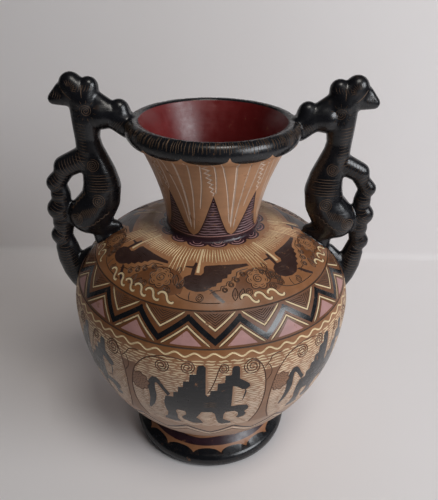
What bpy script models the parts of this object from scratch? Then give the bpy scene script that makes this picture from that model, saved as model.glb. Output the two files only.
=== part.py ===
"""Terracotta amphora with two animal handles.

One fired pot: a thrown body on a hollow foot, a flaring neck with a rolled lip, and two
modelled animals luted on as handles.  Metres, +Z up, the foot's underside at z = 0 and the
turning axis on Z.  The handles lie in the X-Z plane.
"""
import bpy
import bmesh
from math import asin, cos, pi, sin
from mathutils import Vector

# Heights and radii of the pot
RIM_HEIGHT = 0.350         # foot's underside to the top of the lip
BELLY_RADIUS = 0.1345
BELLY_HEIGHT = 0.1785      # height of the widest ring
BOTTOM_RADIUS = 0.0400     # flat underside of the belly, inside the foot
BOTTOM_HEIGHT = 0.0195
WAIST_RADIUS = 0.0630      # where the foot leaves the belly
SHOULDER_RADIUS = 0.0445   # top edge of the shoulder, at the neck
SHOULDER_HEIGHT = 0.2495
NECK_RADIUS = 0.0427
NECK_HEIGHT = 0.2540       # foot of the neck, just above the shoulder
NECK_TOP_RADIUS = 0.0645   # where the neck meets the lip's underside
LIP_RADIUS = 0.0760        # outside of the rolled lip
LIP_DEPTH = 0.0185         # height of the roll
LIP_ROLL = 0.0125          # how thick the roll is, outside to mouth
FOOT_RADIUS = 0.0855       # outside of the foot's base roll
FOOT_ROLL = 0.0170         # height of the base roll
FOOT_CONTACT = 0.0770      # outer edge of the flat standing ring
STANDING_RING = 0.0125     # width of the flat standing ring
HANDLE_SEAT = 0.0125       # where the forearm grips, below the top of the lip
HANDLE_DROP = 0.0075       # where the tail ends, below the belly's widest ring

# Walls
WALL = 0.0080              # belly and neck
FLOOR = 0.0095             # between the belly's inside and the hollow under the foot

# How the curves bend: 1 is an ellipse or a straight flare
BELLY_RISE = 0.95
BELLY_RUN = 1.53
SHOULDER_RUN = 0.98
NECK_FLARE = 1.65
FOOT_FLARE = 1.3

# How finely the clay is faceted
SEGMENTS = 48
HANDLE_GRAIN = 0.0019
HANDLE_FACETS = 0.086

# The animal, in shares of the handle's height from the tail's end to the forearm's grip.
# Each point is (out from the line between those two, up from the tail, thickness radius).
HEAD = (
    ("crest", 0.384, 1.231, 0.061),
    ("ear", 0.293, 1.220, 0.051),
    ("cheek", 0.298, 1.150, 0.079),
    ("jaw", 0.372, 1.168, 0.060),
    ("muzzle", 0.444, 1.171, 0.041),
)
NECK_AND_BODY = (
    (0.303, 1.150, 0.072),
    (0.256, 1.048, 0.076),
    (0.224, 0.953, 0.066),
    (0.193, 0.892, 0.072),
    (0.142, 0.820, 0.080),
    (0.102, 0.755, 0.092),
    (0.067, 0.683, 0.104),
    (0.052, 0.605, 0.108),
    (0.073, 0.533, 0.118),
    (0.087, 0.509, 0.118),
)
FOREARM = (
    (0.190, 1.079, 0.078),
    (0.136, 1.077, 0.065),
    (0.080, 1.054, 0.070),
    (0.030, 1.022, 0.067),
)
PAW = (0.104, 1.108, 0.053)
HIND_LEG = (
    (0.087, 0.509, 0.116),
    (-0.009, 0.431, 0.062),
    (-0.035, 0.365, 0.058),
)
TOE = (-0.088, 0.440, 0.030)
MANE = (
    (0.205, 0.845, 0.068),
    (0.300, 0.790, 0.062),
    (0.326, 0.695, 0.054),
    (0.283, 0.629, 0.056),
    (0.268, 0.539, 0.069),
    (0.222, 0.455, 0.063),
    (0.212, 0.371, 0.062),
    (0.160, 0.293, 0.066),
    (0.122, 0.222, 0.072),
    (0.075, 0.150, 0.072),
    (0.028, 0.090, 0.068),
    (-0.012, 0.030, 0.050),
)
TAIL_FOOT = ((-0.005, 0.262, 0.040), (0.050, 0.180, 0.060))

# Made by hand, the two animals differ: the right one stands taller, with its tail curled in
# closer and thinner, and more clay under the tail
RIGHT_LIFT = 0.010
RIGHT_TUCK = 0.035
RIGHT_THINNER = 0.007
RIGHT_FOOT_LIFT = 0.040

# How flat each limb is across the handle's plane: 1 is round
FLAT_NECK = 0.94
FLAT_BODY = 0.88
FLAT_MANE = 0.92


def material(name, colour, roughness):
    """Plain fired clay with its own colour."""
    mat = bpy.data.materials.new(name)
    mat.use_nodes = True
    shader = mat.node_tree.nodes["Principled BSDF"]
    shader.inputs["Base Color"].default_value = (*colour, 1.0)
    shader.inputs["Roughness"].default_value = roughness
    shader.inputs["Metallic"].default_value = 0.0
    return mat


def quarter(start, end, steps, rise, run, begin=0.0):
    """Points of a quarter curve that leaves start sideways and reaches end upright."""
    (r0, z0), (r1, z1) = start, end
    points = []
    for i in range(steps + 1):
        t = begin + (0.5 * pi - begin) * i / steps
        points.append((r0 + (r1 - r0) * sin(t) ** run, z1 + (z0 - z1) * cos(t) ** rise))
    return points


def offset_inward(points, distance):
    """The same curve moved towards the axis side by a wall's thickness."""
    moved = []
    for i, (r, z) in enumerate(points):
        before = points[max(i - 1, 0)]
        after = points[min(i + 1, len(points) - 1)]
        along = Vector((after[0] - before[0], after[1] - before[1])).normalized()
        moved.append((r - along.y * distance, z + along.x * distance))
    return moved


def belly_curve(from_radius, steps):
    """The outside of the belly, from a radius low down up to the neck's edge of the shoulder."""
    widest = (BELLY_RADIUS, BELLY_HEIGHT)
    share = (from_radius - BOTTOM_RADIUS) / (BELLY_RADIUS - BOTTOM_RADIUS)
    begin = asin(share ** (1.0 / BELLY_RUN))
    lower = quarter((BOTTOM_RADIUS, BOTTOM_HEIGHT), widest, steps, BELLY_RISE, BELLY_RUN, begin)
    upper = quarter((SHOULDER_RADIUS, SHOULDER_HEIGHT), widest, steps, 1.0, SHOULDER_RUN)
    return lower + upper[-2::-1]


def neck_curve(foot_radius, top_radius, top_height, steps):
    """A neck that stands nearly upright at its foot and flares towards the mouth."""
    points = []
    for i in range(steps + 1):
        t = i / steps
        radius = foot_radius + (top_radius - foot_radius) * t ** NECK_FLARE
        points.append((radius, NECK_HEIGHT + (top_height - NECK_HEIGHT) * t))
    return points


def lip_curve():
    """The rolled lip, from under its outer edge over the top."""
    middle = RIM_HEIGHT - 0.5 * LIP_DEPTH
    core = LIP_RADIUS - 0.6 * LIP_ROLL
    points = []
    for i in range(7):
        angle = -0.36 * pi + 0.86 * pi * i / 6
        points.append((core + 0.6 * LIP_ROLL * cos(angle), middle + 0.5 * LIP_DEPTH * sin(angle)))
    return points


def foot_curve(waist_height):
    """The foot's outside, from the flat standing ring up to the waist."""
    half = 0.5 * FOOT_ROLL
    points = [(FOOT_CONTACT, 0.0)]
    for i in range(1, 5):
        angle = -0.5 * pi + pi * i / 5
        points.append((FOOT_CONTACT + (FOOT_RADIUS - FOOT_CONTACT) * cos(angle), half + half * sin(angle)))
    for i in range(3):
        t = i / 3
        spread = (1.0 - t) ** FOOT_FLARE
        points.append((WAIST_RADIUS + (FOOT_CONTACT - WAIST_RADIUS) * spread,
                       FOOT_ROLL + (waist_height - FOOT_ROLL) * t))
    return points


def outside():
    """The whole pot as a solid blank: foot, belly, neck and lip."""
    belly = belly_curve(WAIST_RADIUS, 8)
    foot = foot_curve(belly[0][1])
    lip = lip_curve()
    neck = neck_curve(NECK_RADIUS, NECK_TOP_RADIUS, lip[0][1] - 0.18 * LIP_DEPTH, 5)
    rising = [(0.0, 0.0)] + foot + belly + neck + lip + [(0.0, RIM_HEIGHT)]
    return rising[::-1]


def inside():
    """The hollow of the pot, run out past the mouth so that it cuts clean."""
    mouth = LIP_RADIUS - LIP_ROLL
    floor = BOTTOM_HEIGHT + FLOOR
    belly = [point for point in offset_inward(belly_curve(BOTTOM_RADIUS, 7), WALL)[:-1] if point[1] > floor]
    neck = neck_curve(NECK_RADIUS - WALL, mouth - 0.2 * LIP_ROLL, RIM_HEIGHT - 0.3 * LIP_DEPTH, 5)
    above = RIM_HEIGHT + 2.0 * LIP_DEPTH
    rising = [(0.0, floor)] + belly + neck + [(mouth, RIM_HEIGHT), (mouth, above), (0.0, above)]
    return rising[::-1]


def under_foot():
    """The hollow that is turned out under the foot."""
    edge = FOOT_CONTACT - STANDING_RING
    points = [(0.0, -WALL), (edge, -WALL), (edge, 0.0)]
    for i in range(1, 5):
        angle = 0.5 * pi * i / 4
        points.append((edge - BOTTOM_HEIGHT * (1.0 - cos(angle)), BOTTOM_HEIGHT * sin(angle)))
    points.append((0.0, BOTTOM_HEIGHT))
    return points[::-1]


def turned(name, profile):
    """A solid of revolution from a profile that runs down its outer side."""
    mesh = bpy.data.meshes.new(name)
    vertices = [(r, 0.0, z) for r, z in profile]
    edges = [(i, i + 1) for i in range(len(profile) - 1)]
    mesh.from_pydata(vertices, edges, [])
    solid = bpy.data.objects.new(name, mesh)
    bpy.context.scene.collection.objects.link(solid)
    screw = solid.modifiers.new("turning", "SCREW")
    screw.steps = SEGMENTS
    screw.render_steps = SEGMENTS
    screw.use_merge_vertices = True
    screw.merge_threshold = 0.00001
    return solid


def handle_height():
    """From the tail's end on the belly to the forearm's grip on the lip."""
    return RIM_HEIGHT - HANDLE_SEAT - (BELLY_HEIGHT - HANDLE_DROP)


def handle_point(side, share):
    """A point of the animal in the pot's own place, seated between belly and lip."""
    out, up, _ = share
    grip = LIP_RADIUS - 0.5 * LIP_ROLL
    x = BELLY_RADIUS + (grip - BELLY_RADIUS) * up + out * handle_height()
    lift = side * 0.5 * RIGHT_LIFT * max(up - 1.0, 0.0) / (HEAD[0][2] - 1.0)
    return Vector((side * x, 0.0, BELLY_HEIGHT - HANDLE_DROP + (up + lift) * handle_height()))


def ball_directions():
    """Directions spread evenly over a ball."""
    bm = bmesh.new()
    bmesh.ops.create_icosphere(bm, subdivisions=3, radius=1.0)
    directions = [vert.co.copy() for vert in bm.verts]
    bm.free()
    return directions


def limb(bm, side, start, end, flat):
    """A tapering limb: the hull of two balls, flattened across the handle's plane."""
    skin = []
    for share in (start, end):
        centre = handle_point(side, share)
        for direction in BALL:
            ball = Vector((direction.x, direction.y * flat, direction.z))
            skin.append(bm.verts.new(centre + ball * share[2] * handle_height()))
    hull = bmesh.ops.convex_hull(bm, input=skin, use_existing_faces=False)
    buried = {item for item in hull["geom_interior"] + hull["geom_unused"]}
    bmesh.ops.delete(bm, geom=[v for v in buried if isinstance(v, bmesh.types.BMVert)], context="VERTS")


def chain(bm, side, points, flat):
    for start, end in zip(points, points[1:]):
        limb(bm, side, start, end, flat)


def mane(side):
    """The mane and tail, which the right animal curls in closer."""
    if side < 0:
        return MANE
    return [(out - RIGHT_TUCK * (1.0 - up), up, radius - RIGHT_THINNER) for out, up, radius in MANE]


def tail_foot(side):
    """The clay that fills the corner between the tail and the belly."""
    (out, up, radius), low_end = TAIL_FOOT
    return [(out, up + max(side, 0) * RIGHT_FOOT_LIFT, radius), low_end]


def handle(name, side):
    """One animal: head, neck, body, forearm on the lip, hind leg, mane and tail."""
    bm = bmesh.new()
    head = {part: (out, up, radius) for part, out, up, radius in HEAD}
    for start, end in (("crest", "cheek"), ("ear", "cheek"), ("crest", "jaw"), ("jaw", "muzzle")):
        limb(bm, side, head[start], head[end], FLAT_NECK)
    chain(bm, side, NECK_AND_BODY[:4], FLAT_NECK)
    chain(bm, side, NECK_AND_BODY[3:], FLAT_BODY)
    chain(bm, side, FOREARM, 1.0)
    limb(bm, side, PAW, FOREARM[2], FLAT_NECK)
    chain(bm, side, HIND_LEG, FLAT_BODY)
    limb(bm, side, TOE, HIND_LEG[1], FLAT_NECK)
    chain(bm, side, mane(side), FLAT_MANE)
    chain(bm, side, tail_foot(side), FLAT_MANE)
    mesh = bpy.data.meshes.new(name)
    bm.to_mesh(mesh)
    bm.free()
    animal = bpy.data.objects.new(name, mesh)
    bpy.context.scene.collection.objects.link(animal)
    clay = animal.modifiers.new("one lump of clay", "REMESH")
    clay.mode = "VOXEL"
    clay.voxel_size = HANDLE_GRAIN
    rub = animal.modifiers.new("rubbed joints", "SMOOTH")
    rub.factor = 0.5
    rub.iterations = 2
    facet = animal.modifiers.new("facets", "DECIMATE")
    facet.ratio = HANDLE_FACETS
    return animal


def combine(pot, tool, operation):
    """Join a lump of clay to the pot, or cut a hollow out of it."""
    step = pot.modifiers.new(tool.name, "BOOLEAN")
    step.operation = operation
    step.solver = "EXACT"
    step.object = tool
    tool.hide_render = True
    tool.display_type = "WIRE"


for old in list(bpy.data.objects):
    bpy.data.objects.remove(old, do_unlink=True)

BALL = ball_directions()
amphora = turned("amphora", outside())
amphora.data.materials.append(material("fired terracotta", (0.42, 0.20, 0.09), 0.45))
for handle_name, handle_side in (("right handle lump", 1), ("left handle lump", -1)):
    combine(amphora, handle(handle_name, handle_side), "UNION")
combine(amphora, turned("inside of the pot", inside()), "DIFFERENCE")
combine(amphora, turned("hollow under the foot", under_foot()), "DIFFERENCE")
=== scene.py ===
"""Looks of a terracotta amphora with two animal handles, slip-painted, scratched and burnished.

Metres, +Z up, the foot's underside at z = 0, the handles along X and the front towards -Y.
"""
import bmesh
import bpy
import random
from math import asin, ceil, cos, hypot, pi, radians, sin, sqrt
from mathutils import Matrix, Vector, geometry
from mathutils.bvhtree import BVHTree
import numpy as np


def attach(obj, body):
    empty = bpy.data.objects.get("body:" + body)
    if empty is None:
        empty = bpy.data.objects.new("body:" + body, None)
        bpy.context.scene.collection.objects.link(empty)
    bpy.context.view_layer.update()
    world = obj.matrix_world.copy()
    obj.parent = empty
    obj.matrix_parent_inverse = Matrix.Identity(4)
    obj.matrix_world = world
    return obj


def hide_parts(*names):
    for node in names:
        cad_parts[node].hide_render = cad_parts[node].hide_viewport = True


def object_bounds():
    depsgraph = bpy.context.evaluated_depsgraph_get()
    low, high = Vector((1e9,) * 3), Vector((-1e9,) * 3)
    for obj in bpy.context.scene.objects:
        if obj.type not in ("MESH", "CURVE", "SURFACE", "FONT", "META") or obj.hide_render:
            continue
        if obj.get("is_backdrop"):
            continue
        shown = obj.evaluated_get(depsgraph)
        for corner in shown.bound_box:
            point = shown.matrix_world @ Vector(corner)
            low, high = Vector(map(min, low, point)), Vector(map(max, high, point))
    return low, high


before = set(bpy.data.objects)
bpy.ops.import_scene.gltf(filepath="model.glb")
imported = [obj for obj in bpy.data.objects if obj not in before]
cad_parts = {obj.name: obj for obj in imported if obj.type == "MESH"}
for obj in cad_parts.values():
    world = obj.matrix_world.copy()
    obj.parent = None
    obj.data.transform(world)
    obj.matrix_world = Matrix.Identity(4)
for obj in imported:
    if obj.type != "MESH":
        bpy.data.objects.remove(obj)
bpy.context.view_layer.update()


# Camera
# Held in front of the pot, above its lip and a little askew, and looking down, so that the mouth,
# the shoulder and the front of the belly all show.
EYE = Vector((0.0068, -0.4284, 0.4676))
LOOK_DOWN = 30.18          # degrees below the horizon
LEAN = 1.09                # degrees
LENS, SENSOR = 36.2, 36.0  # millimetres, the sensor on its long side

camera = bpy.data.objects.new("camera", bpy.data.cameras.new("camera"))
bpy.context.scene.collection.objects.link(camera)
camera.data.lens = LENS
camera.data.sensor_width = SENSOR
camera.matrix_world = (Matrix.Translation(EYE) @ Matrix.Rotation(radians(90.0 - LOOK_DOWN), 4, "X")
                       @ Matrix.Rotation(radians(LEAN), 4, "Z"))
bpy.context.scene.camera = camera


# The thrown wall
# Red clay turned on the wheel to a wall 8 mm thick. One outline gives all of it: from the middle
# of the hollow under the foot, over the standing ring, up the belly and the flaring neck, over
# the rolled lip and down to the floor inside.
MM = 0.001
RIM_HEIGHT = 0.350
BELLY_RADIUS, BELLY_HEIGHT = 0.1345, 0.1785
BOTTOM_RADIUS, BOTTOM_HEIGHT = 0.0400, 0.0195
WAIST_RADIUS = 0.0630
SHOULDER_RADIUS, SHOULDER_HEIGHT = 0.0445, 0.2495
NECK_RADIUS, NECK_HEIGHT, NECK_TOP_RADIUS = 0.0427, 0.2540, 0.0645
LIP_RADIUS, LIP_DEPTH, LIP_ROLL = 0.0760, 0.0185, 0.0125
LIP_ROUND, LIP_UNDER = 0.6 * LIP_ROLL, -0.36 * pi   # its round's half width, and where that starts
LIP_MIDDLE, LIP_TUCK = RIM_HEIGHT - 0.5 * LIP_DEPTH, 0.18 * LIP_DEPTH
INNER_EDGE, INNER_DROP = 0.0030, 0.0032             # the lip's small inner round
MOUTH_RADIUS = LIP_RADIUS - LIP_ROLL
THROAT_RADIUS, THROAT_HEIGHT = MOUTH_RADIUS - 0.2 * LIP_ROLL, RIM_HEIGHT - 0.3 * LIP_DEPTH
FOOT_RADIUS, FOOT_ROLL = 0.0855, 0.0170
FOOT_CONTACT, STANDING_RING = 0.0770, 0.0125
WALL, FLOOR = 0.0080, 0.0095
BELLY_RISE, BELLY_RUN, SHOULDER_RUN = 0.95, 1.53, 0.98
NECK_FLARE, FOOT_FLARE = 1.65, 1.3
MIDDLE = 0.006             # radius of the small round that closes floor and underside
STEPS = 90                 # points along each curve of the outline
SAME_PLACE = 0.00001


def spread(begin, end, steps):
    """Evenly spaced values from one to another, both included."""
    return [begin + (end - begin) * i / steps for i in range(steps + 1)]


def belly_curve(from_radius):
    """The belly's outside, from a radius low down to the neck's edge of the shoulder."""
    share = (from_radius - BOTTOM_RADIUS) / (BELLY_RADIUS - BOTTOM_RADIUS)
    rise, run = BOTTOM_HEIGHT - BELLY_HEIGHT, BELLY_RADIUS - BOTTOM_RADIUS
    low = [(BOTTOM_RADIUS + run * sin(a) ** BELLY_RUN, BELLY_HEIGHT + rise * cos(a) ** BELLY_RISE)
           for a in spread(asin(share ** (1.0 / BELLY_RUN)), 0.5 * pi, STEPS)[:-1]]
    rise, run = SHOULDER_HEIGHT - BELLY_HEIGHT, BELLY_RADIUS - SHOULDER_RADIUS
    high = [(SHOULDER_RADIUS + run * sin(a) ** SHOULDER_RUN, BELLY_HEIGHT + rise * cos(a))
            for a in [0.5 * pi * (1.0 - t) for t in spread(0.0, 1.0, STEPS)]]
    return low + high


def neck_curve(foot_radius, top_radius, top_height):
    """The neck, nearly upright at its foot and flaring towards the lip."""
    return [(foot_radius + (top_radius - foot_radius) * t ** NECK_FLARE,
             NECK_HEIGHT + (top_height - NECK_HEIGHT) * t) for t in spread(0.0, 1.0, STEPS)]


def foot_curve(waist_height):
    """The hollow under the foot, its standing ring and its roll, up to the waist."""
    edge = FOOT_CONTACT - STANDING_RING
    roll, half = FOOT_RADIUS - FOOT_CONTACT, 0.5 * FOOT_ROLL
    made = [(MIDDLE, BOTTOM_HEIGHT)]
    made += [(edge - BOTTOM_HEIGHT * (1.0 - sin(a)), BOTTOM_HEIGHT * cos(a))
             for a in spread(0.0, 0.5 * pi, 12)]
    made += [(FOOT_CONTACT + roll * cos(a), half + half * sin(a)) for a in spread(-0.5 * pi, 0.5 * pi, 24)]
    return made + [(WAIST_RADIUS + (FOOT_CONTACT - WAIST_RADIUS) * (1.0 - t) ** FOOT_FLARE,
                    FOOT_ROLL + (waist_height - FOOT_ROLL) * t) for t in spread(0.0, 1.0, 12)[1:-1]]


def inside_curve():
    """The inside, from the throat down to the floor, a wall's thickness within the outside."""
    made = neck_curve(NECK_RADIUS - WALL, THROAT_RADIUS, THROAT_HEIGHT)[::-1]
    skin = belly_curve(BOTTOM_RADIUS + 0.1 * MM)
    for i in range(len(skin) - 3, 1, -2):
        along = (Vector(skin[i + 1]) - Vector(skin[i - 1])).normalized()
        r, z = skin[i][0] - along.y * WALL, skin[i][1] + along.x * WALL
        if z > BOTTOM_HEIGHT + FLOOR and r > NECK_RADIUS - WALL:
            made.append((r, z))
    return made + [(MIDDLE, BOTTOM_HEIGHT + FLOOR)]


def outline_of_wall():
    """(radius, height) along the whole wall, with no place twice."""
    belly = belly_curve(WAIST_RADIUS)
    lip = [(LIP_RADIUS - LIP_ROUND + LIP_ROUND * cos(a), LIP_MIDDLE + 0.5 * LIP_DEPTH * sin(a))
           for a in spread(LIP_UNDER, 0.5 * pi, 24)]
    inner_roll = [(MOUTH_RADIUS + INNER_EDGE * (1.0 - sin(a)), RIM_HEIGHT - INNER_DROP * (1.0 - cos(a)))
                  for a in spread(0.0, 0.5 * pi, 6)]
    whole = foot_curve(belly[0][1]) + belly + neck_curve(NECK_RADIUS, NECK_TOP_RADIUS, lip[0][1] - LIP_TUCK)
    whole += lip + inner_roll + inside_curve()
    return np.array([p for p, before in zip(whole, [(0.0, 0.0)] + whole)
                     if (Vector(p) - Vector(before)).length > SAME_PLACE])


outline = outline_of_wall()
steps = np.hypot(*np.diff(outline, axis=0).T)
standing = np.argmax(np.abs(outline[:, 0] - FOOT_CONTACT) + outline[:, 1] < SAME_PLACE)
UP = np.concatenate([[0.0], np.cumsum(steps)])
UP = (UP - UP[standing]) / MM                       # millimetres up the wall
LIP_TOP = float(UP[np.argmax(outline[:, 1])])
middles = 0.5 * (outline[1:, 0] + outline[:-1, 0])
FLAT = np.concatenate([[0.0], np.cumsum(steps / middles)])


def radius_at(up):
    """The pot's radius in millimetres, so many millimetres up the wall from the standing edge."""
    return float(np.interp(up, UP, outline[:, 0])) / MM


# The drawing on the wall
# The pot is painted with slips of other clays, then scratched through and rubbed smooth. All of
# it is laid out here on the unrolled wall. A place is (turn, up): degrees round from the front,
# to the right, and millimetres up the wall from the foot's standing edge.
SWAY = ((0.35, 3.0, 0.6), (0.25, 7.0, 2.0))         # (degrees, times round, start)
DRIFT = ((0.45, 2.0, 1.0), (0.30, 5.0, 0.4))        # (millimetres, times round, start)
POURED = LIP_TOP + 4.0     # above this the slip is poured, and runs level
LONGEST, WIDEST = 3.0, 3.2 # the longest stretch between two points, in millimetres and degrees
SHARPEST = 1.0 / 1.8 ** 2  # a line's corners are up to 1.8 times as wide as the line

marks = []                 # (slip, outline, centre line if it is scratched), the last on top
hand = random.Random(11)


def wander(turn, up):
    """Nothing drawn by hand is quite level or evenly spaced."""
    if up > POURED:
        return turn, up
    a = radians(turn)
    return (turn + sum(size * sin(times * a + start) for size, times, start in SWAY),
            up + sum(size * sin(times * a + start) for size, times, start in DRIFT))


def even(points, closed=True):
    """The same outline with no long stretch between two points."""
    made = []
    ends = points[1:] + points[:1] if closed else points[1:]
    for (t0, u0), (t1, u1) in zip(points, ends):
        reach = hypot((t1 - t0) * radians(radius_at(0.5 * (u0 + u1))), u1 - u0)
        parts = max(1, ceil(max(reach / LONGEST, abs(t1 - t0) / WIDEST) - 0.01))
        made += [(t0 + (t1 - t0) * i / parts, u0 + (u1 - u0) * i / parts) for i in range(parts)]
    return made if closed else made + [points[-1]]


def area(slip, points):
    """A patch of slip with this outline."""
    marks.append((slip, [wander(*p) for p in even(points)], None))


def line(slip, points, width, cut=True, ends=0.35):
    """A line of some width in millimetres, narrower at its ends, scratched or painted."""
    points = [wander(*p) for p in points]
    left, right, last = [], [], len(points) - 1
    for i, (turn, up) in enumerate(points):
        mm = radians(radius_at(up))
        before, after = points[max(i - 1, 0)], points[min(i + 1, last)]
        across = Vector((before[1] - after[1], (after[0] - before[0]) * mm))
        reach = ends
        if 0 < i < last:
            arriving = Vector(((turn - before[0]) * mm, up - before[1])).normalized()
            leaving = Vector(((after[0] - turn) * mm, after[1] - up)).normalized()
            reach = 1.0 / sqrt(max(0.5 + 0.5 * arriving.dot(leaving), SHARPEST))
        across = across.normalized() * 0.5 * width * reach
        left.append((turn + across.x / mm, up + across.y))
        right.append((turn - across.x / mm, up - across.y))
    marks.append((slip, left + right[::-1], points if cut else None))


def band(slip, low, high, low_step=2.5, high_step=2.5):
    """A band right round the pot. Each edge is a height, or a function that gives it at a turn."""
    edges = []
    for edge, step in ((low, low_step), (high, high_step)):
        turns = spread(-180.0, 180.0, round(360.0 / step))
        edges.append([wander(t, edge(t) if callable(edge) else edge) for t in turns])
    marks.append((slip, even(edges[0] + edges[1][::-1]), None))


def lobe(turn, count, cusp, fullness):
    """How far out a row of round lobes stands at a turn: 0 at a cusp, 1 at a lobe's middle."""
    across = ((turn - cusp) * count / 360.0) % 1.0 * 2.0 - 1.0
    return sqrt(max(1.0 - across * across, 0.0)) ** fullness


def curve(points, step=2.5):
    """A smooth line through a few places, with a point every couple of millimetres."""
    smooth = []
    p = np.array([points[0], *points, points[-1]], float)
    for a, b, c, d in zip(p, p[1:], p[2:], p[3:]):
        reach = hypot((c[0] - b[0]) * radians(radius_at(b[1])), c[1] - b[1])
        parts = max(2, ceil(reach / step))
        for t in spread(0.0, 1.0, parts)[:-1]:
            smooth.append(tuple(0.5 * (2.0 * b + (c - a) * t + (2.0 * a - 5.0 * b + 4.0 * c - d) * t * t
                                       + (3.0 * b - a - 3.0 * c + d) * t ** 3)))
    return smooth + [points[-1]]


def about(place, x, y, turned=0.0):
    """A place x millimetres to the right of another and y above it, turned about it."""
    c, s = cos(turned), sin(turned)
    return place[0] + (x * c - y * s) / radians(radius_at(place[1])), place[1] + x * s + y * c


def spiral(place, size, turns, start, way=1, inner=0.8):
    """A curl that winds in to a place, from an outer radius and a direction in degrees."""
    made = []
    for share in spread(0.0, 1.0, int(turns * (9.0 + size))):
        a = radians(start) + way * 2.0 * pi * turns * share
        r = size * (1.0 - share) ** 0.9 + inner * share
        made.append(about(place, r * cos(a), r * sin(a)))
    return made


def shifted(turn, places):
    """The same places, further round."""
    return [(turn + t, up) for t, up in places]


def round_the_pot(count, first):
    """Where each of so many repeats stands, from the first, within half a turn of the front."""
    return [(first + 360.0 * i / count + 180.0) % 360.0 - 180.0 for i in range(count)]


# Foot and lower belly
# A black base roll whose slip ends in round lobes, a plum stripe above it, and bare clay up to the
# frieze, closed by a zigzag of three lines.
LOBES, LOBE_CUSP, LOBE_FOOT, LOBE_RISE = 17, 9.0, 22.0, 7.6
UNDER_FOOT = -8.0
PLUM_LOW, PLUM_HIGH = 32.0, 40.3
FOOT_LINE = (44.8, 46.2)
CHEVRONS, CHEVRON_TURN, CHEVRON_FOOT, CHEVRON_RISE = 18, 0.5, 124.0, 18.0
CHEVRON_LINES = (("black", 2.4, 0.0), ("cream", 1.9, 6.0), ("brown", 1.1, 9.6))   # slip, width, drop

band("black", UNDER_FOOT, lambda t: LOBE_FOOT + LOBE_RISE * lobe(t, LOBES, LOBE_CUSP, 0.8),
     high_step=360.0 / LOBES / 16)
band("plum", PLUM_LOW, lambda t: PLUM_HIGH + 0.7 * sin(radians(9.0 * t)))
band("brown", *FOOT_LINE)
for slip, width, drop in CHEVRON_LINES:
    for centre in round_the_pot(CHEVRONS, CHEVRON_TURN):
        half, low = 180.0 / CHEVRONS, CHEVRON_FOOT - drop
        high = low + CHEVRON_RISE
        tooth = [(centre - half, high), (centre, low), (centre + half, high)]
        line(slip, even(tooth, closed=False), width, ends=1.0)


# Frieze of horses and trees
# Seven black stepped horses stand between seven curling trees, on clay that short wavy strokes of
# cream slip cover right up to the figures. The figures are plain stepped shapes in slip.
HORSES, TREE_TURN = 7, 21.8
HORSE = [(-17.6, 151), (-17.4, 155), (-16.2, 158), (-15.6, 165), (-16.2, 172), (-16.3, 181),
         (-15.4, 190), (-12.6, 190.5), (-12.4, 197), (-10.8, 197.5), (-10.6, 204), (-9.0, 204.5),
         (-8.8, 211), (-6.8, 211.5), (-6.6, 219), (-4.4, 219.5), (-4.2, 226), (-3.6, 228),
         (-2.0, 228.4), (-1.2, 226.5), (-1.2, 197),
         (-0.5, 194.5), (0.3, 197), (0.4, 201.5), (2.8, 202), (3.0, 210), (5.4, 210.5), (5.6, 218),
         (7.7, 218.5), (7.9, 225), (8.5, 226.8), (10.0, 226.8), (10.6, 225), (10.7, 214), (12.4, 211),
         (14.3, 207), (14.7, 203.5), (13.4, 200.8), (11.8, 201.2), (10.2, 204.5), (8.3, 206), (8.2, 180),
         (11.0, 180.5), (14.2, 179.5), (15.1, 176), (14.9, 172.5), (13.8, 170), (13.9, 167.5),
         (14.6, 165.5), (14.0, 161), (11.6, 158.8), (10.6, 160.5), (11.3, 164), (11.1, 169), (9.6, 172),
         (6.2, 171.5), (5.6, 168), (5.5, 160), (6.6, 157), (8.8, 152.5), (9.0, 149.2), (5.2, 149),
         (3.6, 152), (2.8, 160), (2.2, 169), (1.0, 172), (-2.8, 172), (-3.6, 168), (-4.9, 162),
         (-3.2, 157), (-2.4, 151), (-6.2, 150), (-8.0, 153), (-10.2, 157), (-10.4, 161), (-8.6, 166),
         (-8.8, 171), (-11.6, 172.5), (-12.4, 170), (-12.0, 163), (-12.2, 156), (-11.0, 150.6),
         (-13.5, 148.8)]
HORSE_TAIL = [(-14.6, 190), (-16.3, 197), (-17.6, 202), (-18.4, 204), (-18.9, 203), (-19.0, 197),
              (-18.8, 188), (-19.4, 180), (-20.4, 173), (-22.6, 164.5), (-23.2, 166), (-22.4, 173),
              (-21.7, 181), (-21.6, 190), (-21.9, 198), (-21.2, 205), (-19.8, 210), (-18.2, 210.2),
              (-16.9, 207), (-15.4, 200), (-13.6, 193.5)]
REINS = [(13.0, 202), (13.2, 198), (12.8, 193), (12.2, 187)]
REIN_END = [(9.0, 185.5), (10.6, 186.0), (12.2, 187)]
GIRTH_LEVELS, GIRTH = (180.5, 183.2, 185.9), (-2.0, -0.8, 0.4, 1.6, 2.8)
STEM = [(-0.6, 198), (0.8, 205), (2.2, 215), (3.2, 224), (4.2, 229)]
STEM_CURL = (4.9, 224.8)
LEFT_LIMB = [(-5.0, 145), (-2.6, 162), (-1.4, 182), (-1.2, 202), (-2.4, 220), (-4.6, 229), (-7.0, 231.5),
             (-9.4, 228)]
RIGHT_LIMB = [(4.2, 144), (1.8, 160), (1.0, 178), (1.4, 196), (3.2, 214), (6.8, 226), (10.6, 230.4),
              (14.8, 229.5)]
TWIGS = ([(-2.2, 221), (-0.2, 226), (0.6, 229.5), (2.2, 231.5), (5.0, 232)],
         [(8.4, 228.6), (12.4, 232.4), (17.0, 233.0), (21.2, 231.3)],
         [(-1.2, 206), (0.4, 212), (0.6, 218), (-0.6, 224)])
TREE_CURLS = ((-6.6, 224.4, 7.4, 150, 1), (13.4, 224.0, 6.2, 60, -1), (22.2, 225.4, 6.2, 110, -1))
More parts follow.
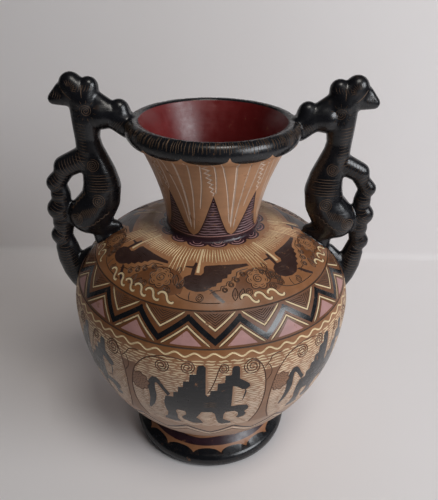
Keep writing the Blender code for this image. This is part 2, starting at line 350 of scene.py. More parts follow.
CROWN_TURN, CROWN_UP, CROWN_HALF, CROWN_HIGH, CROWN_BUMPS = 4.6, 200.0, 3.7, 10.0, 9
SEEDS, SEED, SEED_ROUND, SEED_OUT, SEED_RISE = 34, 0.72, 2.4, 0.544, 1.496
DASH_ROW, DASH_LENGTH, DASH_GAP, DASH_WIDTH = 2.45, 10.5, 1.4, 1.10
FRIEZE_LOW, FRIEZE_HIGH = 146.0, 233.0
WAVES, WAVE_UP, WAVE_HIGH = 27, 236.6, 1.7          # each is two crests long


def horse(turn):
    """A horse with two stepped riders, its tail, its reins and a few strokes for a girth."""
    for shape in (HORSE, HORSE_TAIL):
        area("black", shifted(turn, shape))
    line("black", shifted(turn, REINS), 1.4, cut=False)
    line("brown", shifted(turn, REIN_END), 0.9)
    for level in GIRTH_LEVELS:
        line("ochre", [(turn + t, level + 0.5 * sin(2.0 * t)) for t in GIRTH], 0.6)
    line("umber", curve(shifted(turn, STEM)), 1.0)
    line("umber", spiral(*shifted(turn, [STEM_CURL]), 4.6, 2.2, 120, -1), 0.9)


def tree(turn):
    """A trunk that parts into two curling limbs, with a seeded crown beside it."""
    crown = []
    for a in spread(0.0, 2.0 * pi, 45)[:-1]:
        bump = cos(CROWN_BUMPS * a)
        crown.append((turn + CROWN_TURN + (CROWN_HALF + 0.35 * bump) * cos(a),
                      CROWN_UP + (CROWN_HIGH + 0.9 * bump) * sin(a)))
    area("rust", crown)
    line("umber", crown + crown[:1], 0.9, ends=1.0)
    left, right = curve(shifted(turn, LEFT_LIMB)), curve(shifted(turn, RIGHT_LIMB))
    area("rust", left[:len(left) * 3 // 4] + right[:len(right) * 3 // 4][::-1])
    line("umber", left, 1.1)
    line("umber", right, 1.1)
    for twig in TWIGS:
        line("umber", curve(shifted(turn, twig)), 0.9)
    for t, up, size, start, way in TREE_CURLS:
        line("umber", spiral((turn + t, up), size, 2.6, start, way), 1.0)
    for i in range(SEEDS):
        a, r = SEED_ROUND * i, sqrt(i + 0.5)
        seed = (turn + CROWN_TURN + SEED_OUT * r * cos(a), CROWN_UP + SEED_RISE * r * sin(a))
        area("umber", [about(seed, SEED * cos(b), SEED * sin(b)) for b in (0, 1.26, 2.51, 3.77, 5.03)])


def covered(turn, up):
    """Whether a figure lies over this place."""
    for left, right, low, high, shape in covers:
        for t in (turn, turn - 360.0, turn + 360.0):
            if left < t < right and low < up < high:
                inside = False
                for (t0, u0), (t1, u1) in zip(shape, shape[1:] + shape[:1]):
                    if (u0 > up) != (u1 > up) and t < t0 + (t1 - t0) * (up - u0) / (u1 - u0):
                        inside = not inside
                if inside:
                    return True
    return False


before_frieze = len(marks)
for centre in round_the_pot(HORSES, 0.0):
    horse(centre)
for centre in round_the_pot(HORSES, TREE_TURN):
    tree(centre)
figures, marks[before_frieze:] = marks[before_frieze:], []
covers = []
for slip, shape, _ in figures:
    if slip in ("black", "rust"):
        turns, ups = zip(*shape)
        covers.append((min(turns), max(turns), min(ups), max(ups), shape))
up = FRIEZE_LOW
while up < FRIEZE_HIGH:
    per_mm = 1.0 / radians(radius_at(up))
    turn = -180.0 + hand.uniform(0.0, 3.0)
    while turn < 180.0:
        if covered(turn, up):
            turn += DASH_GAP * per_mm
            continue
        reach = DASH_LENGTH * hand.uniform(0.7, 1.2)
        bow = hand.uniform(0.15, 0.50) * hand.choice((-1, 1))
        for _ in range(3):
            if covered(turn + 0.5 * reach * per_mm, up) or covered(turn + reach * per_mm, up):
                reach *= 0.6
        stroke = [(turn + reach * t * per_mm, up + bow * sin(2.4 * pi * t) + hand.uniform(-0.15, 0.15))
                  for t in spread(0.0, 1.0, 4)]
        if reach > 2.0 and stroke[-1][0] < 179.5:
            line("cream", stroke, DASH_WIDTH * hand.uniform(0.75, 1.15), cut=False)
        turn += (reach + DASH_GAP * hand.uniform(0.6, 1.6)) * per_mm
    up += DASH_ROW
marks += figures
for start in spread(-180.0, 180.0, WAVES)[:-1]:
    line("cream", [(start + 360.0 / WAVES * t, WAVE_UP + WAVE_HIGH * sin(4.0 * pi * t))
                   for t in spread(0.0, 1.0, 20)], 1.5, ends=1.0)


# Zigzag band
# Between two scratched rings runs a broad black zigzag, with cream lines beside it, hatching
# scratched in the teeth above and triangles of pink slip below.
RING_LOW, RING_HIGH, RING_PARTS = 241.6, 271.6, 12
TEETH, TOOTH_TURN = 18, 1.6
ZIG_LOW, ZIG_HIGH, ZIG_WIDTH = 247.3, 265.6, 4.4
PINK = [(-5.6, 244.0), (5.6, 244.0), (0.3, 255.2), (-0.3, 255.2)]
PEAK = [(-8.6, 243.6), (0.0, 259.2), (8.6, 243.6)]
VALLEY = [(-8.4, 270.4), (0.0, 256.4), (8.4, 270.4)]
ZIG_TIP = [(-1.2, ZIG_HIGH - 1.0), (0.0, ZIG_HIGH - 2.6), (1.2, ZIG_HIGH - 1.0), (0.5, ZIG_HIGH + 2.9),
           (-0.5, ZIG_HIGH + 2.9)]
HATCHES, HATCH_LOW, HATCH_TOP, HATCH_STEP = 5, 260.0, 269.8, 2.1
HATCH_REACH, HATCH_NARROWER = 6.4, 1.25

band("rust", RING_LOW, RING_HIGH)
half = 180.0 / TEETH
for centre in round_the_pot(TEETH, TOOTH_TURN):
    centre += hand.uniform(-0.4, 0.4)
    peak = centre + half
    area("pink", shifted(peak, PINK))
    for tooth in (shifted(peak, PEAK), shifted(centre, VALLEY)):
        line("brown", even(tooth, closed=False), 2.3)
        line("cream", even(tooth, closed=False), 1.25)
    for nest in range(HATCHES):
        low, reach = HATCH_LOW + HATCH_STEP * nest, HATCH_REACH - HATCH_NARROWER * nest
        hatch = [(centre - reach, HATCH_TOP), (centre, low), (centre + reach, HATCH_TOP)]
        line("brown", even(hatch, closed=False), 0.75)
    zig = [(centre - half, ZIG_HIGH), (centre, ZIG_LOW), (centre + half, ZIG_HIGH)]
    line("black", even(zig, closed=False), ZIG_WIDTH, cut=False, ends=1.0)
    area("black", shifted(peak, ZIG_TIP))
for level in (RING_LOW, RING_HIGH):
    for start in spread(-180.0, 180.0, RING_PARTS)[:-1]:
        line("brown", [(t, level) for t in spread(start, start + 360.0 / RING_PARTS, 12)], 1.3, ends=1.0)


# Shoulder frieze
# Seven dark birds with stepped backs, each with a flower, curls and leaves scratched beside it and
# a row of cream scrolls below. Fine scratched rays run up to the neck.
BIRDS = 7
BIRD = [(-14.2, 300), (-14.5, 296), (-13.6, 292), (-11, 289), (-7, 287.4), (-3, 288), (-0.8, 290),
        (0.6, 292.2), (2.6, 292.6), (3.2, 295.6), (5.6, 296.2), (6.4, 299.4), (9.0, 300), (9.6, 303.2),
        (11.8, 303.8), (12.6, 307), (15.4, 308.6), (20, 309.2), (24.6, 309.8), (23.6, 312.6), (15, 313.8),
        (5, 314.4), (-3.4, 313.8), (-4.6, 311.6), (-4.2, 306), (-5.6, 303.2), (-9, 303.4), (-12, 302.6)]
BIRD_BEAK = [(-1, 290), (1.0, 289.6), (6.6, 278.8), (5.4, 277.6), (2, 283)]
BIRD_CREST = [(-11.2, 301), (-9.2, 301), (-9.0, 309.4), (-8.8, 316.2), (-10.4, 317.0), (-11.2, 312.4),
              (-15.6, 311.6), (-15.4, 310.2), (-11.3, 310.0)]
WASH = [(9.5, 283), (12, 290), (14, 297), (18, 303), (23, 306), (28, 306.5), (33, 304), (36.5, 299),
        (38.5, 292), (38, 285), (33, 281), (26, 284), (20, 286), (14, 283)]
FEATHERS = ((-12.0, -5.0, 298.5), (-12.4, -6.0, 295.0), (-1.5, 6.5, 304.5), (0.5, 9.5, 308.0))
BACK_STEPS = [(-0.5, 285.6), (1.6, 288.4), (4.6, 288.8), (5.2, 292.2), (7.8, 292.8), (8.6, 296.2),
              (11.2, 296.8), (11.9, 300.2), (14.2, 300.8), (15.4, 305.0), (18.2, 306.4), (23.0, 307.0)]
CURLS = ((7.0, 289.0, 2.6, 90, 1), (10.6, 293.4, 2.7, 90, 1), (14.0, 297.4, 2.7, 90, 1),
         (18.4, 302.4, 2.8, 90, 1), (-17.4, 295.4, 3.6, 300, 1), (-15.4, 286.3, 3.4, 300, 1),
         (-5.0, 282.0, 3.6, 120, -1), (18.4, 285.2, 3.7, 200, 1), (31.2, 285.8, 3.5, 0, -1),
         (36.2, 291.0, 2.6, 0, -1), (-21.8, 300.6, 2.6, 0, 1))
FLOWER, FLOWER_SIZE, PETALS = (25.5, 295.4), 10.4, 7
INNER_PETALS = ((0.80, 0.26), (0.62, 0.22))         # (share of the petal, half its spread)
LEAVES = ((11.0, 279.0, 11.5, 80), (13.4, 279.6, 10.5, 60), (34.5, 290.5, 11.0, 105),
          (36.8, 289.0, 9.5, 80), (-20.0, 291.0, 12.0, 75), (-18.0, 301.0, 9.0, 95))
LEAF_EDGE = ((0.0, 0.0), (0.25, 0.16), (0.55, 0.20), (0.85, 0.09), (1.0, 0.0))
TENDRILS = ([(-19, 288), (-14, 281.6), (-8, 278.8), (-2, 278.0), (4.5, 278.0)],
            [(-9.4, 287.2), (-9.8, 283.5), (-9.2, 279.4)])
SCROLL_STEP = 6.5
SCROLL = [(-0.9, 280.0), (-1.2, 281.6), (-0.1, 283.3), (1.6, 282.9), (2.8, 280.6), (3.4, 278.0),
          (4.5, 275.9), (5.9, 275.6), (6.4, 277.2)]
SCROLLS_FROM, SCROLLS_FROM_LEFT, SCROLLS_TO = 15.5, -3.0, 37.0
RAYS, RAY_LOW, RAY_LOW_BESIDE, RAY_HIGH = 160, 318.0, 306.0, 334.0
GAP_LEFT, GAP_RIGHT = -15.0, 24.0                   # a bird fills this much of the shoulder
PLUME_TURN = -7.8
PLUME = [(-0.9, 335.0), (1.0, 335.4), (0.8, 320.0), (1.1, 305.4), (-0.6, 305.8), (-0.5, 320.0)]


def petal_edge(place, size, turn):
    """A place on the edge of a flower's petals, at an angle about its middle."""
    reach = size * (0.78 + 0.22 * abs(sin(0.5 * PETALS * turn)))
    return about(place, reach * cos(turn), reach * sin(turn))


def flower(place, size):
    """Double petals round a curl."""
    rim = [petal_edge(place, size, a) for a in spread(0.0, 2.0 * pi, 6 * PETALS)[:-1]]
    area("ground", rim)
    line("brown", rim + rim[:2], 0.9, ends=1.0)
    for i in range(PETALS):
        middle = 2.0 * pi * (i + 0.5) / PETALS
        for inner, reach in INNER_PETALS:
            angles = spread(middle - reach, middle + reach, 4)
            line("brown", [petal_edge(place, inner * size, a) for a in angles], 0.6)
    line("brown", spiral(place, 0.42 * size, 1.8, 40, 1), 0.8)


def leaf(place, length, turned):
    """A pointed leaf with a midrib."""
    for side in (1.0, -1.0):
        line("brown", curve([about(place, length * x, side * length * y, turned) for x, y in LEAF_EDGE]), 0.9)
    line("brown", [about(place, length * x, 0.0, turned) for x in (0.15, 0.4, 0.7)], 0.7)


def bird(turn):
    """A bird with beak and crest, and the flower, curls, leaves and tendrils beside it."""
    area("rust", shifted(turn, WASH))
    for shape in (BIRD, BIRD_BEAK, BIRD_CREST):
        area("dark", shifted(turn, shape))
    for start, end, level in FEATHERS:
        line("brown", [(turn + start + (end - start) * k, level + 0.5 * sin(5.0 * k))
                       for k in (0.0, 0.3, 0.6, 1.0)], 0.6)
    line("brown", even(shifted(turn, BACK_STEPS), closed=False), 0.8)
    for t, u, size, start, way in CURLS:
        line("brown", spiral((turn + t, u), size, 2.2, start, way, 0.5), 0.75)
    flower(*shifted(turn, [FLOWER]), FLOWER_SIZE)
    for t, u, length, turned in LEAVES:
        leaf((turn + t, u), length, radians(turned))
    for tendril in TENDRILS:
        line("brown", curve(shifted(turn, tendril)), 0.8)


def scrolls(start, end):
    """Cream strokes that follow each other, each hooked over at its start and up at its end."""
    for i in range(int((end - start) / SCROLL_STEP)):
        stroke = curve(shifted(start + SCROLL_STEP * i, SCROLL))
        line("brown", stroke, 2.5)
        line("cream", stroke, 1.75)


for centre in round_the_pot(BIRDS, 0.0):
    bird(centre)
for centre in round_the_pot(BIRDS, 0.0):
    scrolls(centre + (SCROLLS_FROM if centre >= 0.0 else SCROLLS_FROM_LEFT), centre + SCROLLS_TO)
for i in range(RAYS):
    turn = -180.0 + 360.0 * (i + 0.5) / RAYS
    beside = (turn + 180.0 / BIRDS) % (360.0 / BIRDS) - 180.0 / BIRDS
    clear = beside > GAP_RIGHT or beside < GAP_LEFT
    low = RAY_LOW_BESIDE if clear else RAY_LOW
    shift = hand.uniform(-0.3, 0.3) + (0.9 if clear else 0.0)
    line("cream", [(turn + shift, low + hand.uniform(-1.0, 1.0)), (turn, 0.5 * (low + RAY_HIGH)),
                   (turn - shift, RAY_HIGH + hand.uniform(-0.8, 1.6))], 1.1)
for centre in round_the_pot(BIRDS, PLUME_TURN):
    area("cream", shifted(centre, PLUME))


# Neck
# Plum slip at its foot, ending on the shoulder in rounded scallops, with a thin pink ring painted
# round the neck's foot as its highlight; eight plum triangles with pale bars scratched through, and
# between them tongues of bare clay with long pale lines.
SCALLOPS, SCALLOP_CUSP, SCALLOP_LINE, SCALLOP_DROP = 15, -4.5, 345.4, 7.4
BOWS = ((8.2, 344.4, 4.4, 15, 1.1), (5.2, 346.2, 3.2, 25, 0.7))   # reach, up, drop, step, width
# A thin pink ring round the neck's foot, painted where a highlight runs round it.
NECK_HIGHLIGHT_RING = (350.0, 351.2)
NECK_TEETH, NECK_TOOTH = 8, 1.2
TOOTH_FOOT, TOOTH_TOP = 351.0, 393.5
TOOTH_LEVELS = (TOOTH_FOOT, 352.4, 355.0, 360.0, 365.0, 370.0, 380.0, 388.0, TOOTH_TOP)
TOOTH_HALVES = (22.3, 18.8, 16.3, 13.2, 10.6, 8.4, 4.7, 1.9, 0.2)
BAR_STEP, BAR_INSET = 2.75, 1.1
PALE_TOP = 438.0
PALE_LINES = ((-24.5, -20.4, 397.0, 1.25), (-18.5, -4.0, 363.0, 1.25), (-7.5, -1.8, 359.0, 1.9),
              (4.0, 1.6, 357.0, 1.25), (12.5, 10.0, 380.0, 1.25))  # turn above, below, foot, width
SQUIGGLE_TOP, SQUIGGLE_FOOT, SQUIGGLE_TURN, SQUIGGLES = 430.0, TOOTH_TOP + 1.0, -7.0, 14


def tooth_half(up):
    """Half a neck triangle's width in degrees: hollow sides, wide at the foot."""
    return float(np.interp(up, TOOTH_LEVELS, TOOTH_HALVES))


band("plum", lambda t: SCALLOP_LINE - SCALLOP_DROP * lobe(t, SCALLOPS, SCALLOP_CUSP, 0.9), TOOTH_FOOT,
     low_step=1.0, high_step=3.0)
for centre in round_the_pot(SCALLOPS, SCALLOP_CUSP + 180.0 / SCALLOPS):
    for reach, up, drop, step, width in BOWS:
        angles = [radians(a) for a in range(-75, 76, step)]
        line("pink", [(centre + reach * sin(a), up - drop * cos(a)) for a in angles], width)
# Painted highlight: a thin pink ring round the neck's foot.
band("pink", *NECK_HIGHLIGHT_RING)
for centre in round_the_pot(NECK_TEETH, NECK_TOOTH):
    centre += hand.uniform(-0.6, 0.6)
    sides = [(u, tooth_half(u)) for u in spread(TOOTH_FOOT, TOOTH_TOP, 14)]
    area("plum", [(centre - half, u) for u, half in sides] + [(centre + half, u) for u, half in sides[::-1]])
    up = TOOTH_FOOT + 2.0
    while up < TOOTH_TOP - 3.0:
        reach = tooth_half(up + 0.6) - BAR_INSET
        parts = max(2, int(reach / 2.0))
        line("mauve", [(t, up + 0.3 * sin(2.0 * i + up))
                       for i, t in enumerate(spread(centre - reach, centre + reach, parts))], 1.3)
        up += BAR_STEP
    tongue = centre + 180.0 / NECK_TEETH
    for above, below, foot, width in PALE_LINES:
        line("pale", [(tongue + above + (below - above) * t ** 1.25 + 1.6 * sin(pi * t),
                       PALE_TOP + (foot - PALE_TOP) * t) for t in spread(0.0, 1.0, 16)], width)
    squiggle = []
    for i, u in enumerate(spread(SQUIGGLE_TOP, SQUIGGLE_FOOT, SQUIGGLES)):
        share = i / SQUIGGLES
        swing = (-1) ** (i + 1) * (2.3 - 1.1 * share)
        squiggle.append((centre + SQUIGGLE_TURN * (1.0 - share) + swing, u))
    line("pale", curve(squiggle, step=4.0), 1.2)


# Lip
# A rolled lip in black slip, whose lower edge hangs in round festoons over the neck. Short upright
# strokes are scratched all round it, so that the clay shows through, and the inside is red.
FESTOONS, FESTOON_CUSP, LIP_FOOT, FESTOON_DROP = 13, 10.0, 443.5, 7.0
TICKS, TICK_LOW, TICK_HIGH = 204, 446.5, 457.0
RED_FROM, BLACK_TO = LIP_TOP + 5.0, LIP_TOP + 5.5

band("black", lambda t: LIP_FOOT - FESTOON_DROP * lobe(t, FESTOONS, FESTOON_CUSP, 0.9), BLACK_TO,
     low_step=1.25)
for i in range(TICKS):
    turn = -180.0 + 360.0 * (i + 0.5) / TICKS + hand.uniform(-0.8, 0.8)
    low, high = TICK_LOW + hand.uniform(-1.5, 2.0), TICK_HIGH + hand.uniform(-3.0, 1.5)
    lean = hand.uniform(-0.7, 0.7)
    line("ochre", [(turn, low), (turn + lean * 0.5, 0.5 * (low + high)), (turn + lean, high)], 0.5)
band("red", RED_FROM, float(UP[-1]))


# Slips and clay
# Every surface is burnished clay or slip, rubbed with a pebble along the turning, so it has soft
# bands, a faint mottle, small worn spots where the clay shows, and an uneven polish.
BARE_CLAY = (0.24, 0.105, 0.045)
CLOUDS, MOTTLE, STROKES, GRAINS = (16.0, 3.0), (130.0, 4.0), (42.0, 3.0), (900.0, 2.0)   # scale, detail
ALONG_THE_TURNING = (0.5, 0.5, 6.0)
SHADES, SHADE_DRIFT = (28.0, 3.0), 0.020            # how ragged a change of colour is, in metres
CLOUD_TONE, STROKE_TONE, MOTTLE_TONE, BASE_TONE = 0.62, 0.30, 0.34, 0.37
WORN_FROM, WORN_TO, WEAR_REACH = 0.66, 0.74, 0.22
MOTTLE_POLISH, CLOUD_POLISH = 0.35, 0.20
BUMP, BUMP_HEIGHT = 0.28, 0.0006


def value(tree, operation, first, second):
    """A Math node on two sockets or numbers."""
    node = tree.nodes.new("ShaderNodeMath")
    node.operation = operation
    for socket, given in zip(node.inputs, (first, second)):
        if isinstance(given, (int, float)):
            socket.default_value = given
        else:
            tree.links.new(given, socket)
    return node.outputs["Value"]


def total(tree, *parts):
    """Parts added up, each a socket, a number or (socket, share)."""
    made = [value(tree, "MULTIPLY", *part) if isinstance(part, tuple) else part for part in parts]
    whole = made[0]
    for part in made[1:]:
        whole = value(tree, "ADD", whole, part)
    return whole


def noise(tree, place, scale, detail, stretch=(1.0, 1.0, 1.0)):
    """Noise on a place, stretched along an axis."""
    mapping = tree.nodes.new("ShaderNodeMapping")
    mapping.inputs["Scale"].default_value = stretch
    tree.links.new(place, mapping.inputs["Vector"])
    node = tree.nodes.new("ShaderNodeTexNoise")
    node.inputs["Scale"].default_value = scale
    node.inputs["Detail"].default_value = detail
    tree.links.new(mapping.outputs["Vector"], node.inputs["Vector"])
    return node.outputs["Fac"]


def mix(tree, share, first, second, blend="MIX"):
    """A colour mixed from two, each a socket or a colour."""
    node = tree.nodes.new("ShaderNodeMix")
    node.data_type = "RGBA"
    node.blend_type = blend
    for name, given in (("Factor_Float", share), ("A_Color", first), ("B_Color", second)):
        socket = next(i for i in node.inputs if i.identifier == name)
        if isinstance(given, float):
            socket.default_value = given
        elif isinstance(given, tuple):
            socket.default_value = (*given, 1.0)
        else:
            tree.links.new(given, socket)
    return next(o for o in node.outputs if o.identifier == "Result_Color")


def ramp(tree, source, low, high):
    """0 below low, 1 above high."""
    node = tree.nodes.new("ShaderNodeMapRange")
    node.inputs["From Min"].default_value = low
    node.inputs["From Max"].default_value = high
    tree.links.new(source, node.inputs["Value"])
    return node.outputs["Result"]


def burnished_slip():
    """Node group: a slip's colour, polish and surface once it has been rubbed, fired and handled."""
    group = bpy.data.node_groups.new("burnished slip", "ShaderNodeTree")
    for name, way, kind in (("Slip", "INPUT", "Color"), ("Clay", "INPUT", "Color"),
                            ("Wear", "INPUT", "Float"), ("Polish", "INPUT", "Float"),
                            ("Color", "OUTPUT", "Color"), ("Roughness", "OUTPUT", "Float"),
                            ("Normal", "OUTPUT", "Vector")):
        group.interface.new_socket(name, in_out=way, socket_type="NodeSocket" + kind)
    given = group.nodes.new("NodeGroupInput").outputs
    made = group.nodes.new("NodeGroupOutput").inputs
    place = group.nodes.new("ShaderNodeTexCoord").outputs["Object"]
    clouds, mottle = noise(group, place, *CLOUDS), noise(group, place, *MOTTLE)
    strokes, grain = noise(group, place, *STROKES, ALONG_THE_TURNING), noise(group, place, *GRAINS)
    tone = total(group, (clouds, CLOUD_TONE), (strokes, STROKE_TONE), (mottle, MOTTLE_TONE), BASE_TONE)
    shade = group.nodes.new("ShaderNodeCombineColor")
    for channel in ("Red", "Green", "Blue"):
        group.links.new(tone, shade.inputs[channel])
    painted = mix(group, 1.0, given["Slip"], shade.outputs["Color"], "MULTIPLY")
    bare = total(group, (mottle, 0.75), (grain, 0.25), (given["Wear"], WEAR_REACH))
    group.links.new(mix(group, ramp(group, bare, WORN_FROM, WORN_TO), painted, given["Clay"]), made["Color"])
    polish = total(group, given["Polish"], (value(group, "SUBTRACT", mottle, 0.5), MOTTLE_POLISH),
                   (value(group, "SUBTRACT", clouds, 0.5), CLOUD_POLISH))
    group.links.new(polish, made["Roughness"])
    bump = group.nodes.new("ShaderNodeBump")
    bump.inputs["Strength"].default_value = BUMP
    bump.inputs["Distance"].default_value = BUMP_HEIGHT
    group.links.new(total(group, strokes, (mottle, 0.35)), bump.inputs["Height"])
    group.links.new(bump.outputs["Normal"], made["Normal"])
    return group


burnished = burnished_slip()


def slip_material(name, colour, polish, wear, clay=BARE_CLAY):
    """A slip of one colour, or of a colour(tree) that changes over the pot."""
    made = bpy.data.materials.new(name)
    made.use_nodes = True
    tree = made.node_tree
    rubbed = tree.nodes.new("ShaderNodeGroup")
    rubbed.node_tree = burnished
    rubbed.inputs["Clay"].default_value = (*clay, 1.0)
    rubbed.inputs["Wear"].default_value = wear
    rubbed.inputs["Polish"].default_value = polish
    if callable(colour):
        tree.links.new(colour(tree), rubbed.inputs["Slip"])
    else:
        rubbed.inputs["Slip"].default_value = (*colour, 1.0)
    shader = tree.nodes["Principled BSDF"].inputs
    for source, target in (("Color", "Base Color"), ("Roughness", "Roughness"), ("Normal", "Normal")):
        tree.links.new(rubbed.outputs[source], shader[target])
    return made


def by_height(*stops):
    """A colour that changes with height on the pot, from (height, colour) stops."""
    def colour(tree):
        place = tree.nodes.new("ShaderNodeTexCoord").outputs["Object"]
        axes = tree.nodes.new("ShaderNodeSeparateXYZ")
        tree.links.new(place, axes.inputs["Vector"])
        drift = value(tree, "SUBTRACT", noise(tree, place, *SHADES), 0.5)
        share = value(tree, "DIVIDE", total(tree, axes.outputs["Z"], (drift, SHADE_DRIFT)), RIM_HEIGHT)
        blend = tree.nodes.new("ShaderNodeValToRGB")
        ends = blend.color_ramp.elements
        for i, (height, shade) in enumerate(stops):
            stop = ends[i] if i < 2 else ends.new(height / RIM_HEIGHT)
            stop.position = height / RIM_HEIGHT
            stop.color = (*shade, 1.0)
        tree.links.new(share, blend.inputs["Fac"])
        return blend.outputs["Color"]
    return colour


GROUND = by_height((0.020, (0.33, 0.15, 0.07)), (0.050, (0.40, 0.25, 0.17)), (0.150, (0.43, 0.26, 0.165)),
                   (0.185, (0.36, 0.19, 0.105)), (0.203, (0.24, 0.098, 0.034)), (0.232, (0.23, 0.092, 0.032)),
                   (0.244, (0.33, 0.155, 0.070)), (0.280, (0.45, 0.235, 0.125)))
RUST = by_height((0.150, (0.29, 0.155, 0.090)), (0.205, (0.15, 0.056, 0.020)))
CREAM = by_height((0.150, (0.76, 0.62, 0.48)), (0.200, (0.70, 0.54, 0.32)))
SLIP_LOOKS = {             # colour, polish and wear
    "ground": (GROUND, 0.42, 0.15),
    "rust": (RUST, 0.45, 0.15),
    "black": ((0.0080, 0.0084, 0.0105), 0.26, 0.12),
    "dark": ((0.036, 0.017, 0.014), 0.36, 0.20),
    "plum": ((0.034, 0.013, 0.019), 0.33, 0.25),
    "mauve": ((0.24, 0.145, 0.160), 0.50, 0.30),
    "pink": ((0.42, 0.225, 0.210), 0.55, 0.32),
    "cream": (CREAM, 0.55, 0.25),
    "pale": ((0.62, 0.47, 0.37), 0.55, 0.30),
    "umber": ((0.105, 0.050, 0.030), 0.60, 0.10),
    "brown": ((0.050, 0.024, 0.013), 0.60, 0.10),
    "ochre": ((0.150, 0.085, 0.042), 0.60, 0.10),
    "red": ((0.125, 0.007, 0.007), 0.38, 0.05),
}


# The wall's skin
# The clay and its slips as one closed net of triangles: the drawing is laid on the unrolled sheet,
# rolled up to the turned outline, joined at the back and pressed in along the scratches.
SLIPS = list(SLIP_LOOKS)
SCRATCH_DEPTH = 0.38       # millimetres
SPACING, SPACING_INSIDE, PLAIN = 6.4, 9.0, 14.0     # the net's rows, and where the wider ones start
POLE = 24                  # places round the middle of floor and underside
SAME_ON_SHEET, SEAM_GAP = 1e-7, 0.00002


def kept_on_sheet(points, side):
    """The part of an outline on one side of a seam at the back: side is 1 left of it, -1 right."""
    made = []
    for (x0, y0), (x1, y1) in zip(points, points[1:] + points[:1]):
        in0, in1 = side * x0 <= pi, side * x1 <= pi
        if in0:
            made.append((x0, y0))
        if in0 != in1:
            made.append((side * pi, y0 + (y1 - y0) * (side * pi - x0) / (x1 - x0)))
    return made


def anticlockwise(points):
    """The outline from its lowest point, run so that its inside is on the left."""
    first = min(range(len(points)), key=lambda i: (points[i][1], points[i][0]))
    points = points[first:] + points[:first]
    (x, y), after, before = points[0], points[1], points[-1]
    if (after[0] - x) * (before[1] - y) - (after[1] - y) * (before[0] - x) < 0.0:
        points = points[:1] + points[:0:-1]
    return points


def sheet_rows():
    """The places between the marks, in staggered rows across the unrolled wall."""
    made, up, n = [], float(UP[0]), 0
    while up < UP[-1] - 1.0:
        gap = SPACING if -PLAIN < up < LIP_TOP + PLAIN else SPACING_INSIDE
        if n:
            y = float(np.interp(up, UP, FLAT))
            count = max(POLE, int(2.0 * pi * radius_at(up) / gap))
            made += [(-pi + 2.0 * pi * (i + 0.5 * (n % 2)) / count, y) for i in range(1, count)]
            made += [(-pi, y), (pi, y)]
        up += gap
        n += 1
    return made


def sheet_net():
    """Places, edges and outlines for the whole unrolled wall, and each outline's slip and cut."""
    places, edges, shapes, kinds = sheet_rows(), [], [], []

    def add(points, slip, centre):
        shapes.append(list(range(len(places), len(places) + len(points))))
        places.extend(points)
        kinds.append((SLIPS.index(slip), centre is not None))
        if centre is not None:
            edges.extend((i, i + 1) for i in range(len(places), len(places) + len(centre) - 1))
            places.extend(centre)

    low, high = float(FLAT[0]), float(FLAT[-1])
    round_it = spread(-pi, pi, POLE)
    add([(x, low) for x in round_it] + [(x, high) for x in round_it[::-1]], "ground", None)
    for slip, points, centre in marks:
        flat, spine = [[(radians(turn), float(np.interp(up, UP, FLAT))) for turn, up in given or ()]
                       for given in (points, centre)]
        for turn in (-2.0 * pi, 0.0, 2.0 * pi):
            shape = [(x + turn, y) for x, y in flat]
            left, right = min(x for x, _ in shape), max(x for x, _ in shape)
            if right <= -pi or left >= pi:
                continue
            crosses = right > pi or left < -pi
            if crosses:
                shape = kept_on_sheet(kept_on_sheet(shape, 1), -1)
            if len(shape) > 2:
                add(anticlockwise(shape), slip,
                    [(x + turn, y) for x, y in spine] if spine and not crosses else None)
    return places, edges, shapes, kinds


def skin_of_wall():
    """Places, triangles, each one's slip and whether it is scratched, and where each place faces."""
    places, edges, shapes, kinds = sheet_net()
    net = geometry.delaunay_2d_cdt([Vector(p) for p in places], edges, shapes, 0, SAME_ON_SHEET, True)
    flat, corners = np.array([tuple(p) for p in net[0]]), np.array(net[2])
    slip, cut = np.array([kinds[max(ids) if ids else 0] for ids in net[5]]).T
    cut = cut.astype(bool)
    pressed = np.ones(len(flat), bool)
    pressed[corners[~cut].ravel()] = False
    up = np.interp(flat[:, 1], FLAT, UP)
    lean = np.gradient(outline, UP, axis=0)
    lean /= np.linalg.norm(lean, axis=1)[:, None]
    along_r, along_z = np.interp(up, UP, lean[:, 0]), np.interp(up, UP, lean[:, 1])
    radius = np.interp(up, UP, outline[:, 0]) - pressed * SCRATCH_DEPTH * MM * along_z
    height = np.interp(up, UP, outline[:, 1]) + pressed * SCRATCH_DEPTH * MM * along_r
    right, front = np.sin(flat[:, 0]), -np.cos(flat[:, 0])
    solid = np.stack([radius * right, radius * front, height], axis=1)
    facing = np.stack([along_z * right, along_z * front, -along_r], axis=1)
    at_seam = np.abs(np.abs(flat[:, 0]) - pi) < 0.000001
    return solid, corners, slip, cut, facing, at_seam


def scratched_mesh(name, places, faces, materials, slips, cut, facing):
    """A mesh with its slips, that remembers which faces are scratches and how the clay faces."""
    mesh = bpy.data.meshes.new(name)
    mesh.from_pydata(places, [], faces)
    for material in materials:
        mesh.materials.append(material)
    mesh.polygons.foreach_set("material_index", np.array(slips, np.int32))
    mesh.attributes.new("pressed", "BOOLEAN", "FACE").data.foreach_set("value", cut)
    mesh.attributes.new("facing", "FLOAT_VECTOR", "POINT").data.foreach_set("vector", np.ravel(facing))
    return mesh


def crisp_scratches(mesh):
    """Smooth clay with flat-sided scratches in it."""
    def read(source, name, kind, width=1):
        found = np.empty(width * len(source), kind)
        source.foreach_get(name, found)
        return found.reshape(-1, 3) if width == 3 else found

    corner = read(mesh.loops, "vertex_index", np.int32)
    facing = read(mesh.attributes["facing"].data, "vector", float, 3)
    flat_normal = read(mesh.polygons, "normal", float, 3)
    pressed = read(mesh.attributes["pressed"].data, "value", bool)
    size = read(mesh.polygons, "loop_total", np.int32)
    own = np.repeat(flat_normal, size, axis=0)
    normals = np.where(np.repeat(pressed, size)[:, None], own, facing[corner])
    mesh.shade_smooth()
    mesh.normals_split_custom_set(normals.tolist())
    for name in ("facing", "pressed"):
        mesh.attributes.remove(mesh.attributes[name])


